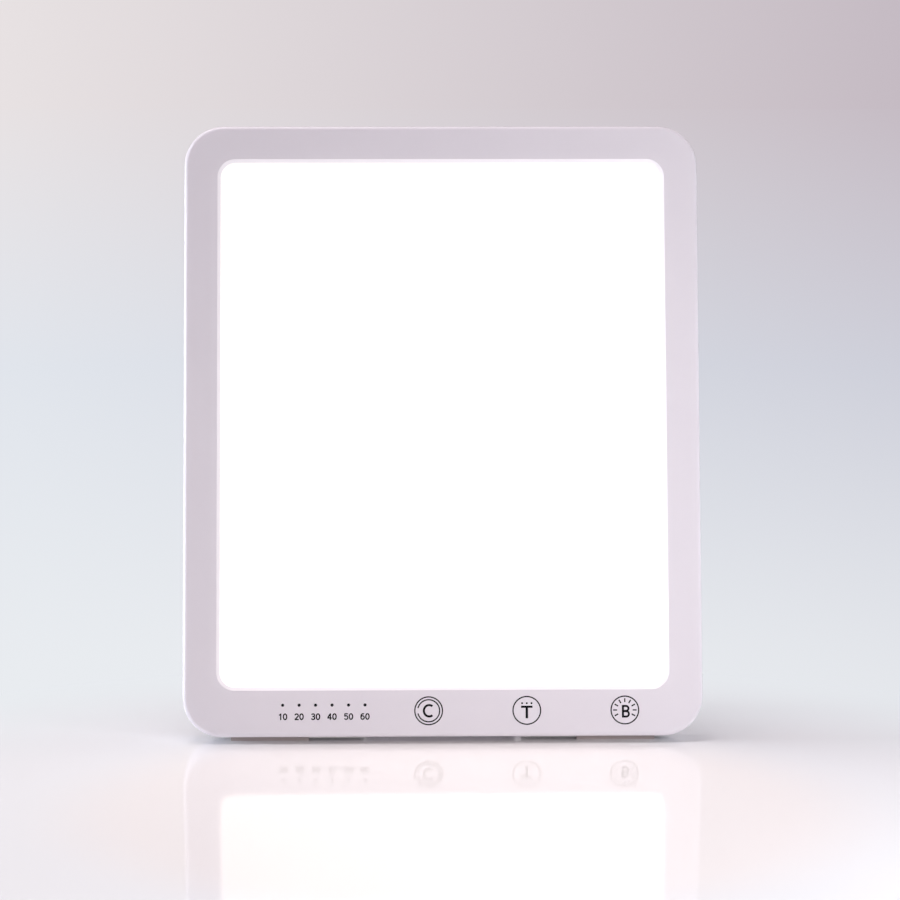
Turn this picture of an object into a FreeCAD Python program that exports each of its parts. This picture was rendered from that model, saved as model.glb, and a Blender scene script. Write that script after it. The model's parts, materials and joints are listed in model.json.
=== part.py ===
import FreeCAD, Part
import math
import os

V = FreeCAD.Vector

# Light therapy lamp: a thin edge-lit panel that leans back on two foot strips and a hinged
# rear leg. Every piece is drawn with the panel upright: X runs across, Y is the depth back
# from the front face, Z runs up the panel from its lower edge. The panel is then leaned back
# by lean_angle and set on the floor plane z = 0. Lengths are in mm, angles in degrees.

# ---- panel ----
panel_w = 240.0
panel_h = 285.0
panel_t = 18.0
panel_corner_r = 18.5
front_edge_r = 2.0
back_edge_r = 4.0
lean_angle = 12.0
floor_gap = 0.35              # lowest edge of the case above the floor

# ---- front frame ----
wall = 2.0
frame_depth = 7.0             # parting line, behind the front face
border_side = 15.5            # from the panel's outline to the screen opening
border_top = 15.7
border_bottom = 21.3
screen_corner_r = 8.5
screen_edge_w = 1.6           # sloping inner edge of the frame
parting_gap = 0.3
lip_t = 1.2
lip_h = 2.0
lip_clearance = 0.15

# ---- optical stack, front to back ----
stack_margin = 4.6            # how far the sheets run under the frame
gasket_t = 0.5
gasket_w = 3.2
diffuser_t = 1.5
diffuser_recess = 1.7         # screen face behind the front face
diffuser_clearance = 0.15
film_t = 0.3
guide_t = 3.0
reflector_t = 0.3
plate_t = 1.0
sheet_clearance = 0.4
fence_t = 1.1
fence_end_inset = 15.0

# ---- light strips ----
guide_inset = 0.5             # guide edge inside the other sheets, each side
chip_gap = 0.2
chip_h = 0.7
chip_side = 0.1               # package inside the guide's two faces
chip_l = 3.5
chip_pitch = 5.0
strip_t = 0.8
strip_w = 3.6
strip_end_inset = 1.7         # below and above the sheets' own ends
flange_h = 4.0
flange_inset = 4.0

# ---- bosses and screws ----
boss_r = 2.75
cover_boss_r = 3.6
boss_side_inset = 5.8         # side boss centre from the outer side
corner_boss_inset = 5.7       # corner boss centre from the outline, along the diagonal
cover_screw_r = 1.3
cover_head_r = 2.4
cover_head_h = 1.6
counterbore_r = 2.7
counterbore_depth = 4.0
screw_clearance = 0.2
thread_clearance = 0.02
screw_end_gap = 1.5           # screw tip to the bottom of its boss
side_screw_share = (0.34, 0.66)
plate_screw_share = (0.2, 0.8)
small_screw_r = 1.0
small_head_r = 1.9
small_head_h = 1.2
cross_w = 0.6
cross_depth = 0.8
notch_clearance = 0.35
tab_w = 8.0
tab_reach = 2.1               # tab past the screw centre

# ---- control board ----
board_t = 1.6
board_front_gap = 3.0         # between the front wall and the board
board_end_inset = 17.0
board_bottom = 3.8
board_top_gap = 0.4           # under the fence
end_screw_inset = 42.1        # screw beside the inlet, from the panel's side
end_screw_drop = 2.1          # and below the board's middle
dot_end_inset = 46.1          # first dot, from the panel's side
dot_pitch = 7.58
dot_count = 6
dot_above_keys = 2.5
dot_r = 0.7
dot_clearance = 0.05
key_from_dots = 29.5          # first key, from the last dot
key_end_inset = 36.0          # last key, from the panel's side
key_pad_r = 4.4
key_pad_gap = 0.3             # under the fence
pipe_bar_t = 1.6
pipe_bar_h = 2.6
pipe_bar_end = 2.0
indicator_w = 1.6
indicator_h = 0.8
indicator_t = 0.6
inductor_w = 8.0
inductor_t = 4.2
inductor_corner_r = 1.5
capacitor_r = 3.15
capacitor_gap = 1.7           # between its top and the back cover
transistor_w = 6.5
transistor_h = 6.1
transistor_t = 2.3
controller_w = 7.0
controller_t = 1.0
connector_w = 8.0
connector_h = 6.0
connector_t = 5.0
connector_end_inset = 4.0

# ---- leads from the board to the strips ----
lead_r = 0.6
lead_spacing = 1.6            # between the two cores at the strip
lead_core_gap = 3.0           # between the two cores at the connector
lead_over_boss = 3.45         # first turn, over the cover's corner boss
lead_past_boss = 2.75         # second turn, beyond it

# ---- supply inlet ----
jack_end_inset = 35.0         # from the panel's side
jack_w = 9.0
jack_nose_r = 4.0
jack_hole_clearance = 0.2
jack_nose_recess = 0.4
jack_bore_r = 3.15
jack_base_t = 1.5             # behind the bore's end
jack_pin_r = 1.0
jack_pin_recess = 1.0
jack_dish_r = 6.0
jack_dish_depth = 0.8

# ---- rear leg and its hinge ----
leg_w = 72.0
leg_skin = 2.0
leg_rib = 1.6
leg_cells_x = 3
leg_cells_z = 7
leg_below_surface = 0.2       # folded leg's face under the back face
leg_under_gap = 0.8           # folded leg above the pocket's floor
leg_corner_r = 5.0
leg_edge_r = 1.2
leg_open_angle = 20.0
hinge_height = 190.0
heel_floor_gap = 0.18         # heel of the open leg above the pocket's floor
pocket_clearance = 0.6
pocket_floor_t = 2.0
pocket_plate_gap = 0.4        # between the pocket's floor and the plate
pocket_corner_r = 5.5
pin_r = 1.5
pin_in_leg = 9.0
pin_in_cover = 8.0
pin_press = 0.02
pin_running = 0.05
pin_end_gap = 0.5
hinge_block_h = 9.0
hinge_wall = 1.6              # under the pin hole
stop_side_inset = 14.0        # from the leg's side
stop_gap = 0.8                # between the barrel and the wedge
stop_clearance = 0.06
stop_root = 0.5               # wedge carried on into the pocket's end
washer_t = 0.4
washer_inset = 0.3            # washer's rim inside the barrel's
grip_count = 4
grip_pitch = 5.0
grip_w = 1.6
grip_depth = 0.6
grip_from_end = 14.0
leg_solid_hinge = 8.0
leg_solid_end = 12.0

# ---- silicone feet ----
foot_w = 36.0
foot_end_inset = 22.0         # from the outer side of the panel
foot_t = 5.0
foot_setback = 1.2            # front edge of the strip, behind the parting gap
foot_seat = 1.2
foot_clearance = 0.2
leg_foot_side = 8.0           # leg left at each end of its sole
leg_foot_skin = 1.2           # and in front of and behind it
leg_foot_seat = 5.0
leg_foot_out = 1.2

# ---- air vents in the back cover ----
vent_w = 2.2
vent_pitch = 8.0
top_vent_side = 60.0          # row of slots, from the panel's side
top_vent_h = 26.0
top_vent_above = 22.2         # over the pocket's end wall
low_vent_count = 5
low_vent_h = 16.0
low_vent_inset = 38.0         # middle of the row, from the panel's side
low_vent_z = 40.0

# ---- small shapes ----
over = 1.0                    # how far a cutting shape runs past a face
same_depth = 1e-4             # edges this close to a depth lie at it
bend_share = 0.45             # of the shorter run, taken up by a lead's bend
slot_round = 0.49             # a slot's end radius, of its width
head_round = 0.4              # a screw head's rounding, of its height
cross_span = 0.62             # half the cross recess, of the head's radius

# ---- worked out from the above ----
half_w = panel_w / 2
back_in = panel_t - wall
screen_w = panel_w - 2 * border_side
screen_h = panel_h - border_top - border_bottom
screen_z0 = border_bottom
screen_z1 = border_bottom + screen_h
screen_in_w = screen_w - 2 * screen_edge_w
screen_in_h = screen_h - 2 * screen_edge_w
screen_in_r = screen_corner_r - screen_edge_w
screen_mid_z = (screen_z0 + screen_z1) / 2
sheet_w = screen_in_w + 2 * stack_margin
sheet_h = screen_in_h + 2 * stack_margin
sheet_z0 = screen_mid_z - sheet_h / 2
sheet_z1 = screen_mid_z + sheet_h / 2
gasket_y = wall
flange_y = gasket_y + gasket_t
film_y = flange_y + diffuser_t
guide_y = film_y + film_t
reflector_y = guide_y + guide_t
plate_y = reflector_y + reflector_t
plate_back = plate_y + plate_t
guide_w = sheet_w - 2 * guide_inset
guide_mid_y = guide_y + guide_t / 2
chip_w = guide_t - 2 * chip_side
chip_x0 = guide_w / 2 + chip_gap
strip_x0 = chip_x0 + chip_h
flange_x0 = strip_x0 + strip_t
flange_x1 = flange_x0 + plate_t
boss_x = half_w - boss_side_inset
cover_y = frame_depth + parting_gap
board_y = wall + board_front_gap
board_back = board_y + board_t
fence_low_z = sheet_z0 - sheet_clearance - fence_t
fence_high_z = sheet_z1 + sheet_clearance
board_top = fence_low_z - board_top_gap
board_half_w = half_w - board_end_inset
board_mid_z = (board_bottom + board_top) / 2
key_z = fence_low_z - key_pad_gap - key_pad_r
dot_z = key_z + dot_above_keys
capacitor_back = back_in - capacitor_gap
head_seat = panel_t - counterbore_depth
jack_x = jack_end_inset - half_w
jack_mouth = panel_t - jack_nose_recess
jack_bore_end = board_back + jack_base_t
pocket_in = plate_back + pocket_plate_gap
pocket_y = pocket_in + pocket_floor_t
pocket_half = leg_w / 2 + pocket_clearance
tray_half = pocket_half + wall
leg_face = panel_t - leg_below_surface
leg_inner = pocket_y + leg_under_gap
leg_t = leg_face - leg_inner
barrel_r = leg_t / 2
hinge_y = leg_face - leg_t / 2 - leg_below_surface
foot_front = cover_y + foot_setback
leg_foot_w = leg_w - 2 * leg_foot_side
leg_foot_t = leg_t - 2 * leg_foot_skin
rise = math.sin(math.radians(lean_angle))
run = math.cos(math.radians(lean_angle))
floor_lift = (panel_t - back_edge_r) * rise + back_edge_r * (1 - run) + floor_gap
hinge_floor = floor_lift + hinge_height * run - hinge_y * rise
leg_tilt = leg_open_angle - lean_angle
leg_reach = hinge_floor / math.cos(math.radians(leg_tilt))
leg_end_z = hinge_height - leg_reach + leg_foot_out
heel = (hinge_y - pocket_y - heel_floor_gap) / math.sin(math.radians(leg_open_angle))
heel_sweep = math.hypot(heel, leg_face - hinge_y)
pocket_top = hinge_height + heel_sweep + pocket_clearance / 2


def box(x0, x1, y0, y1, z0, z1):
    return Part.makeBox(x1 - x0, y1 - y0, z1 - z0, V(x0, y0, z0))


def rod(r, x, z, y0, y1):
    return Part.makeCylinder(r, y1 - y0, V(x, y0, z), V(0, 1, 0))


def bar(r, y, z, x0, x1):
    return Part.makeCylinder(r, x1 - x0, V(x0, y, z), V(1, 0, 0))


def slab(x0, x1, z0, z1, r, y0, y1):
    """A flat plate with rounded corners, between depths y0 and y1."""
    d = r * (1 - math.sqrt(0.5))
    corners = [
        (V(x1 - r, y0, z0), V(x1 - d, y0, z0 + d), V(x1, y0, z0 + r)),
        (V(x1, y0, z1 - r), V(x1 - d, y0, z1 - d), V(x1 - r, y0, z1)),
        (V(x0 + r, y0, z1), V(x0 + d, y0, z1 - d), V(x0, y0, z1 - r)),
        (V(x0, y0, z0 + r), V(x0 + d, y0, z0 + d), V(x0 + r, y0, z0)),
    ]
    edges = []
    last = corners[-1][2]
    for start, middle, end in corners:
        edges.append(Part.LineSegment(last, start).toShape())
        edges.append(Part.Arc(start, middle, end).toShape())
        last = end
    return Part.Face(Part.Wire(edges)).extrude(V(0, y1 - y0, 0))


def centred_slab(w, h, mid_z, r, y0, y1):
    return slab(-w / 2, w / 2, mid_z - h / 2, mid_z + h / 2, r, y0, y1)


def panel_slab(inset, y0, y1):
    """The panel's own outline, drawn in by inset."""
    r = panel_corner_r - inset
    return slab(inset - half_w, half_w - inset, inset, panel_h - inset, r, y0, y1)


def edges_at_depth(shape, y):
    found = []
    for edge in shape.Edges:
        ends = [p.Y for p in edge.Vertexes]
        middle = edge.valueAt((edge.FirstParameter + edge.LastParameter) / 2).y
        if all(abs(value - y) < same_depth for value in ends + [middle]):
            found.append(edge)
    return found


def mirrored(shape):
    return shape.mirror(V(0, 0, 0), V(1, 0, 0))


def corner_bosses():
    reach = (panel_corner_r - corner_boss_inset) / math.sqrt(2)
    x = half_w - panel_corner_r + reach
    low = panel_corner_r - reach
    return [(side * x, z) for side in (-1, 1) for z in (low, panel_h - low)]


def cover_screw_places():
    sides = [(side * boss_x, share * panel_h) for side in (-1, 1) for share in side_screw_share]
    return corner_bosses() + sides


def plate_screw_places():
    return [(side * boss_x, sheet_z0 + share * sheet_h)
            for side in (-1, 1) for share in plate_screw_share]


def dot_places():
    return [dot_end_inset - half_w + i * dot_pitch for i in range(dot_count)]


def key_places():
    first = dot_places()[-1] + key_from_dots
    last = half_w - key_end_inset
    return [first, (first + last) / 2, last]


def board_screw_places():
    """One screw beside the inlet, and one in front of each key."""
    stops = dot_places()[-1:] + key_places()
    between = [(a + b) / 2 for a, b in zip(stops, stops[1:])]
    end = (end_screw_inset - half_w, board_mid_z - end_screw_drop)
    return [end] + [(x, board_mid_z) for x in between]


def spread(start, end, widths):
    """The centres of parts of these widths, set between start and end with even gaps."""
    gap = (end - start - sum(widths)) / (len(widths) + 1)
    centres = []
    for width in widths:
        centres.append(start + gap + width / 2)
        start += gap + width
    return centres


def left_part_places():
    """Two inductors and a capacitor, from the leg's pocket out to the screw by the inlet."""
    end = half_w - end_screw_inset - small_head_r
    return [-x for x in spread(tray_half, end, [inductor_w, inductor_w, 2 * capacitor_r])]


def transistor_places():
    last_screw = board_screw_places()[-1][0]
    return spread(tray_half, last_screw - small_head_r, [transistor_w, transistor_w])


def right_part_places():
    """A capacitor and the controller, from the last screw out to the connector."""
    start = board_screw_places()[-1][0] + small_head_r
    return spread(start, connector_entry_x() - connector_w, [2 * capacitor_r, controller_w])


def make_front_frame():
    shell = panel_slab(0, 0, frame_depth)
    shell = shell.makeFillet(front_edge_r, edges_at_depth(shell, 0))
    shell = shell.cut(panel_slab(wall, wall, frame_depth + over))
    opening = centred_slab(screen_in_w, screen_in_h, screen_mid_z, screen_in_r, -over, wall + over)
    shell = shell.cut(opening)
    rim = [e for e in edges_at_depth(shell, 0) if opening.BoundBox.isInside(e.CenterOfMass)]
    shell = shell.makeChamfer(screen_edge_w, rim)
    fence_x = half_w - fence_end_inset
    adds = [box(-fence_x, fence_x, wall, plate_back, z, z + fence_t)
            for z in (fence_low_z, fence_high_z)]
    adds += [rod(boss_r, x, z, wall, frame_depth) for x, z in cover_screw_places()]
    adds += [rod(boss_r, x, z, wall, plate_y) for x, z in plate_screw_places()]
    adds += [rod(boss_r, x, z, wall, board_y) for x, z in board_screw_places()]
    shell = shell.fuse(adds).removeSplitter()
    holes = [rod(cover_screw_r + thread_clearance, x, z, wall, frame_depth + over)
             for x, z in cover_screw_places()]
    small = plate_screw_places() + board_screw_places()
    holes += [rod(small_screw_r + thread_clearance, x, z, wall, plate_y + over) for x, z in small]
    holes += [rod(dot_r + dot_clearance, x, dot_z, -over, wall + over) for x in dot_places()]
    return shell.cut(holes)


def make_foam_gasket():
    outer = centred_slab(sheet_w, sheet_h, screen_mid_z, screen_corner_r, gasket_y, flange_y)
    inner = centred_slab(sheet_w - 2 * gasket_w, sheet_h - 2 * gasket_w, screen_mid_z,
                         screen_in_r, gasket_y - over, flange_y + over)
    return outer.cut(inner)


def make_diffuser_panel():
    flange = centred_slab(sheet_w, sheet_h, screen_mid_z, screen_corner_r, flange_y, film_y)
    w = screen_in_w - 2 * diffuser_clearance
    h = screen_in_h - 2 * diffuser_clearance
    raised = centred_slab(w, h, screen_mid_z, screen_in_r, diffuser_recess, flange_y)
    return flange.fuse(raised).removeSplitter()


def make_sheet(w, y0, y1):
    return centred_slab(w, sheet_h, screen_mid_z, screen_in_r, y0, y1)


def make_heat_spreader():
    z0 = sheet_z0 + flange_inset
    z1 = sheet_z1 - flange_inset
    plate = centred_slab(2 * flange_x1, sheet_h, screen_mid_z, flange_inset, plate_y, plate_back)
    parts = [box(side * flange_x0 - (plate_t if side < 0 else 0),
                 side * flange_x0 + (plate_t if side > 0 else 0),
                 plate_y - flange_h, plate_y, z0, z1) for side in (-1, 1)]
    for x, z in plate_screw_places():
        end = math.copysign(abs(x) + tab_reach, x)
        parts.append(box(min(0, end), max(0, end), plate_y, plate_back,
                         z - tab_w / 2, z + tab_w / 2))
    plate = plate.fuse(parts).removeSplitter()
    cuts = [rod(small_screw_r + screw_clearance, x, z, plate_y - over, plate_back + over)
            for x, z in plate_screw_places()]
    cuts += [rod(cover_boss_r + notch_clearance, x, z, 0, panel_t) for x, z in cover_screw_places()]
    return plate.cut(cuts)


def strip_ends():
    return sheet_z0 + strip_end_inset, sheet_z1 - strip_end_inset


def make_led_strip():
    z0, z1 = strip_ends()
    return box(strip_x0, flange_x0, plate_y - strip_w, plate_y, z0, z1)


def make_led_chips():
    z0, z1 = strip_ends()
    count = int((z1 - z0 - 2 * flange_inset) / chip_pitch)
    first = (z0 + z1) / 2 - (count - 1) * chip_pitch / 2
    return Part.makeCompound([
        box(chip_x0, strip_x0, guide_mid_y - chip_w / 2, guide_mid_y + chip_w / 2,
            first + i * chip_pitch - chip_l / 2, first + i * chip_pitch + chip_l / 2)
        for i in range(count)])


def make_control_board():
    board = box(-board_half_w, board_half_w, board_y, board_back, board_bottom, board_top)
    return board.cut([rod(small_screw_r + screw_clearance, x, z, board_y - over, board_back + over)
                      for x, z in board_screw_places()])


def make_key_pads():
    return Part.makeCompound([rod(key_pad_r, x, key_z, wall, board_y) for x in key_places()])


def make_indicator_pipe():
    dots = dot_places()
    pipe = box(dots[0] - pipe_bar_end, dots[-1] + pipe_bar_end, wall, wall + pipe_bar_t,
               dot_z - pipe_bar_h / 2, dot_z + pipe_bar_h / 2)
    return pipe.fuse([rod(dot_r, x, dot_z, 0, wall + pipe_bar_t / 2) for x in dots])


def make_indicator_leds():
    return Part.makeCompound([
        box(x - indicator_w / 2, x + indicator_w / 2, board_y - indicator_t, board_y,
            dot_z - indicator_h / 2, dot_z + indicator_h / 2) for x in dot_places()])


def on_board(x, w, h, t):
    return box(x - w / 2, x + w / 2, board_back, board_back + t,
               board_mid_z - h / 2, board_mid_z + h / 2)


def make_inductors():
    return Part.makeCompound([
        slab(x - inductor_w / 2, x + inductor_w / 2, board_mid_z - inductor_w / 2,
             board_mid_z + inductor_w / 2, inductor_corner_r, board_back,
             board_back + inductor_t) for x in left_part_places()[:2]])


def make_capacitors():
    return Part.makeCompound([rod(capacitor_r, x, board_mid_z, board_back, capacitor_back)
                              for x in (left_part_places()[2], right_part_places()[0])])


def make_transistors():
    return Part.makeCompound([on_board(x, transistor_w, transistor_h, transistor_t)
                              for x in transistor_places()])


def make_controller():
    return on_board(right_part_places()[1], controller_w, controller_w, controller_t)


def connector_entry_x():
    return board_half_w - connector_end_inset


def make_strip_connectors():
    x = connector_entry_x() - connector_w / 2
    return Part.makeCompound([on_board(side * x, connector_w, connector_h, connector_t)
                              for side in (-1, 1)])


def tube_along(points, r):
    """A round tube on straight runs joined by tangent arcs, each as large as its runs allow."""
    edges = []
    last = points[0]
    for before, corner, after in zip(points, points[1:], points[2:]):
        a = before - corner
        b = after - corner
        turn = math.pi - a.getAngle(b)
        reach = bend_share * min(a.Length, b.Length)
        radius = reach / math.tan(turn / 2)
        print("lead bend radius", round(radius, 2))
        a.normalize()
        b.normalize()
        half = a + b
        half.normalize()
        centre = corner + half * math.hypot(reach, radius)
        start = corner + a * reach
        end = corner + b * reach
        edges.append(Part.LineSegment(last, start).toShape())
        edges.append(Part.Arc(start, centre - half * radius, end).toShape())
        last = end
    edges.append(Part.LineSegment(last, points[-1]).toShape())
    path = Part.Wire(edges)
    ring = Part.Wire([Part.makeCircle(r, points[0], points[1] - points[0])])
    tube = path.makePipeShell([ring], True, False)
    print("lead volume ratio", round(tube.Volume / (math.pi * r * r * path.Length), 4))
    return tube


def make_led_leads():
    """Two cores from the lower end of a light strip round to the board connector."""
    x0 = (strip_x0 + flange_x0) / 2
    y0 = guide_mid_y
    z0 = strip_ends()[0]
    x1 = connector_entry_x()
    y1 = board_back + connector_t / 2
    boss_x, boss_z = max(corner_bosses(), key=lambda place: place[0] - place[1])
    turn_x = boss_x - cover_boss_r - lead_past_boss
    turn_z = boss_z + cover_boss_r + lead_over_boss
    cores = []
    for side in (-1, 1):
        ys = y0 + side * lead_spacing / 2
        z1 = board_mid_z + side * lead_core_gap / 2
        points = [V(x0, ys, z0), V(x0, ys, turn_z), V(turn_x, y1, z1), V(x1, y1, z1)]
        cores.append(tube_along(points, lead_r))
    return Part.makeCompound(cores)


def make_dc_jack():
    body = box(jack_x - jack_w / 2, jack_x + jack_w / 2, board_back, back_in,
               board_mid_z - jack_w / 2, board_mid_z + jack_w / 2)
    nose = rod(jack_nose_r, jack_x, board_mid_z, back_in - over, jack_mouth)
    bore = rod(jack_bore_r, jack_x, board_mid_z, jack_bore_end, jack_mouth + over)
    return body.fuse(nose).removeSplitter().cut(bore)


def make_dc_jack_pin():
    return rod(jack_pin_r, jack_x, board_mid_z, jack_bore_end, jack_mouth - jack_pin_recess)


def screw(x, z, seat, tip, r, head_r, head_h):
    """A pan-head screw with a cross recess: head behind seat, shank forward to tip."""
    top = seat + head_h
    head = rod(head_r, x, z, seat, top)
    head = head.makeFillet(head_round * head_h, edges_at_depth(head, top))
    head = head.fuse(rod(r, x, z, tip, seat + head_h / 2))
    arm = cross_span * head_r
    half = cross_w / 2
    cross = [box(x - arm, x + arm, top - cross_depth, top + over, z - half, z + half),
             box(x - half, x + half, top - cross_depth, top + over, z - arm, z + arm)]
    return head.cut(cross)


def make_cover_screws():
    return Part.makeCompound([screw(x, z, head_seat, wall + screw_end_gap, cover_screw_r,
                                    cover_head_r, cover_head_h) for x, z in cover_screw_places()])


def make_plate_screws():
    return Part.makeCompound([screw(x, z, plate_back, wall + screw_end_gap, small_screw_r,
                                    small_head_r, small_head_h) for x, z in plate_screw_places()])


def make_board_screws():
    return Part.makeCompound([screw(x, z, board_back, wall + screw_end_gap / 2, small_screw_r,
                                    small_head_r, small_head_h) for x, z in board_screw_places()])


def locating_lip():
    """The ring on the cover that locates it inside the frame's side wall."""
    inset = wall + lip_clearance
    lip = panel_slab(inset, frame_depth - lip_h, cover_y + lip_h)
    root = panel_slab(wall / 2, cover_y, cover_y + lip_h)
    ring = lip.fuse(root).cut(panel_slab(inset + lip_t, 0, panel_t))
    notch_r = boss_r + notch_clearance
    notches = [rod(notch_r, x, z, 0, plate_y + notch_clearance)
               for x, z in cover_screw_places() + plate_screw_places()]
    return ring.cut(notches)


def pocket_stop():
    """The wedge that the leg's heel lies on when the leg stands open."""
    slope = math.tan(math.radians(leg_open_angle))
    top = pocket_top + stop_root
    half = leg_w / 2 - stop_side_inset
    z_start = hinge_height + barrel_r + stop_gap
    y_start = hinge_y - (z_start - hinge_height) * slope - stop_clearance
    y_end = hinge_y - (top - hinge_height) * slope - stop_clearance
    base = pocket_y - pocket_floor_t / 2
    outline = [V(-half, base, z_start), V(-half, y_start, z_start),
               V(-half, max(y_end, base), top), V(-half, base, top)]
    face = Part.Face(Part.makePolygon(outline + outline[:1]))
    return face.extrude(V(2 * half, 0, 0))


def vent_slots():
    top_count = int((panel_w - 2 * top_vent_side) / vent_pitch)
    top_z = pocket_top + wall + top_vent_above + top_vent_h / 2
    low_x = half_w - low_vent_inset
    rows = [(0, top_z, top_vent_h, top_count)]
    rows += [(side * low_x, low_vent_z, low_vent_h, low_vent_count) for side in (-1, 1)]
    slots = []
    for mid_x, mid_z, h, count in rows:
        for i in range(count):
            x = mid_x + (i - (count - 1) / 2) * vent_pitch
            slots.append(slab(x - vent_w / 2, x + vent_w / 2, mid_z - h / 2, mid_z + h / 2,
                              slot_round * vent_w, back_in - over, panel_t + over))
    return slots


def make_back_cover():
    shell = panel_slab(0, cover_y, panel_t)
    shell = shell.makeFillet(back_edge_r, edges_at_depth(shell, panel_t))
    inside = panel_slab(wall, 0, back_in)
    inside = inside.makeFillet(back_edge_r - wall, edges_at_depth(inside, back_in))
    shell = shell.cut(inside)

    # everything that stands inside the shell
    adds = [box(-tray_half, tray_half, pocket_in, back_in + wall / 2, wall / 2, pocket_top + wall)]
    adds += [rod(cover_boss_r, x, z, frame_depth, back_in + wall / 2)
             for x, z in cover_screw_places()]
    for side in (-1, 1):
        x0 = pocket_half
        x1 = pocket_half + pin_in_cover
        adds.append(box(min(side * x0, side * x1), max(side * x0, side * x1),
                        hinge_y - pin_r - hinge_wall, back_in + wall / 2,
                        hinge_height - hinge_block_h / 2, hinge_height + hinge_block_h / 2))
    shell = shell.fuse(adds + [locating_lip()]).removeSplitter()

    # the leg's pocket, open at the panel's lower edge
    pocket = slab(-pocket_half, pocket_half, -2 * pocket_corner_r, pocket_top, pocket_corner_r,
                  pocket_y, panel_t + over)
    cuts = [pocket]
    cuts += vent_slots()
    for x, z in cover_screw_places():
        cuts.append(rod(cover_screw_r + screw_clearance, x, z, 0, panel_t))
        cuts.append(rod(counterbore_r, x, z, head_seat, panel_t + over))
    cuts.append(rod(jack_nose_r + jack_hole_clearance, jack_x, board_mid_z, 0, panel_t + over))
    cuts.append(rod(jack_dish_r, jack_x, board_mid_z, panel_t - jack_dish_depth, panel_t + over))
    shell = shell.cut(cuts)
    pin_reach = pocket_half + pin_in_cover + over
    shell = shell.cut(bar(pin_r + pin_press, hinge_y, hinge_height, -pin_reach, pin_reach))
    shell = shell.fuse(pocket_stop()).removeSplitter()
    return shell.cut([foot_strip(side, foot_clearance) for side in (-1, 1)])


def foot_strip(side, clearance):
    """A foot, or the slot that it is glued into, running on down past the floor."""
    outer = half_w - foot_end_inset + clearance
    inner = outer - foot_w - 2 * clearance
    ends = sorted((side * inner, side * outer))
    return box(ends[0], ends[1], foot_front - clearance, foot_front + foot_t + clearance,
               -2 * floor_lift, foot_seat)


def leg_cells():
    """The open cells between the ribs, on the side that faces the panel."""
    x0 = -leg_w / 2 + leg_skin
    z0 = leg_end_z + leg_solid_end
    z1 = hinge_height - leg_solid_hinge
    w = (leg_w - 2 * leg_skin - (leg_cells_x - 1) * leg_rib) / leg_cells_x
    h = (z1 - z0 - (leg_cells_z - 1) * leg_rib) / leg_cells_z
    cells = []
    for i in range(leg_cells_x):
        for k in range(leg_cells_z):
            x = x0 + i * (w + leg_rib)
            z = z0 + k * (h + leg_rib)
            cells.append(slab(x, x + w, z, z + h, leg_edge_r, leg_inner - over, leg_face - leg_skin))
    return cells


def make_stand_leg():
    """The leg as it lies folded; it is swung open when it is placed."""
    blank = slab(-leg_w / 2, leg_w / 2, leg_end_z, hinge_height + heel, leg_corner_r,
                 leg_inner, leg_face)
    blank = blank.makeFillet(leg_edge_r, edges_at_depth(blank, leg_face))
    above = box(-leg_w, leg_w, leg_inner - over, hinge_y, hinge_height, hinge_height + 2 * heel)
    leg = blank.cut(above)
    leg = leg.fuse(bar(barrel_r, hinge_y, hinge_height, -leg_w / 2, leg_w / 2)).removeSplitter()
    cuts = leg_cells()
    for side in (-1, 1):
        near = side * leg_w / 2
        far = side * (leg_w / 2 - pin_in_leg - pin_end_gap)
        cuts.append(bar(pin_r + pin_running, hinge_y, hinge_height, min(near, far),
                        max(near, far)))
    cuts.append(leg_foot_block(leg_end_z - over, leg_end_z + leg_foot_seat, foot_clearance))
    for i in range(grip_count):
        z = leg_end_z + grip_from_end + i * grip_pitch
        cuts.append(slab(-leg_foot_w / 2, leg_foot_w / 2, z - grip_w / 2, z + grip_w / 2,
                         slot_round * grip_w, leg_face - grip_depth, leg_face + over))
    return leg.cut(cuts)


def leg_foot_block(z0, z1, clearance):
    mid = (leg_inner + leg_face) / 2
    half = leg_foot_t / 2 + clearance
    x = leg_foot_w / 2 + clearance
    return box(-x, x, mid - half, mid + half, z0, z1)


def make_stand_foot():
    return leg_foot_block(leg_end_z - 3 * leg_foot_out, leg_end_z + leg_foot_seat, 0)


def make_hinge_pin():
    return bar(pin_r, hinge_y, hinge_height, leg_w / 2 - pin_in_leg, pocket_half + pin_in_cover)


def make_hinge_washers():
    gap_mid = (leg_w / 2 + pocket_half) / 2
    ring = bar(barrel_r - washer_inset, hinge_y, hinge_height,
               gap_mid - washer_t / 2, gap_mid + washer_t / 2)
    ring = ring.cut(bar(pin_r + pin_running, hinge_y, hinge_height, 0, panel_w))
    return Part.makeCompound([ring, mirrored(ring)])


def swung_open(shape):
    turned = shape.copy()
    turned.rotate(V(0, hinge_y, hinge_height), V(1, 0, 0), leg_open_angle)
    return turned


def leaned(shape):
    turned = shape.copy()
    turned.rotate(V(0, 0, 0), V(1, 0, 0), -lean_angle)
    turned.translate(V(0, 0, floor_lift))
    return turned


def floor_trimmed(shape):
    reach = 2 * panel_h
    return shape.cut(box(-reach, reach, -reach, reach, -reach, 0))


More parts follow.
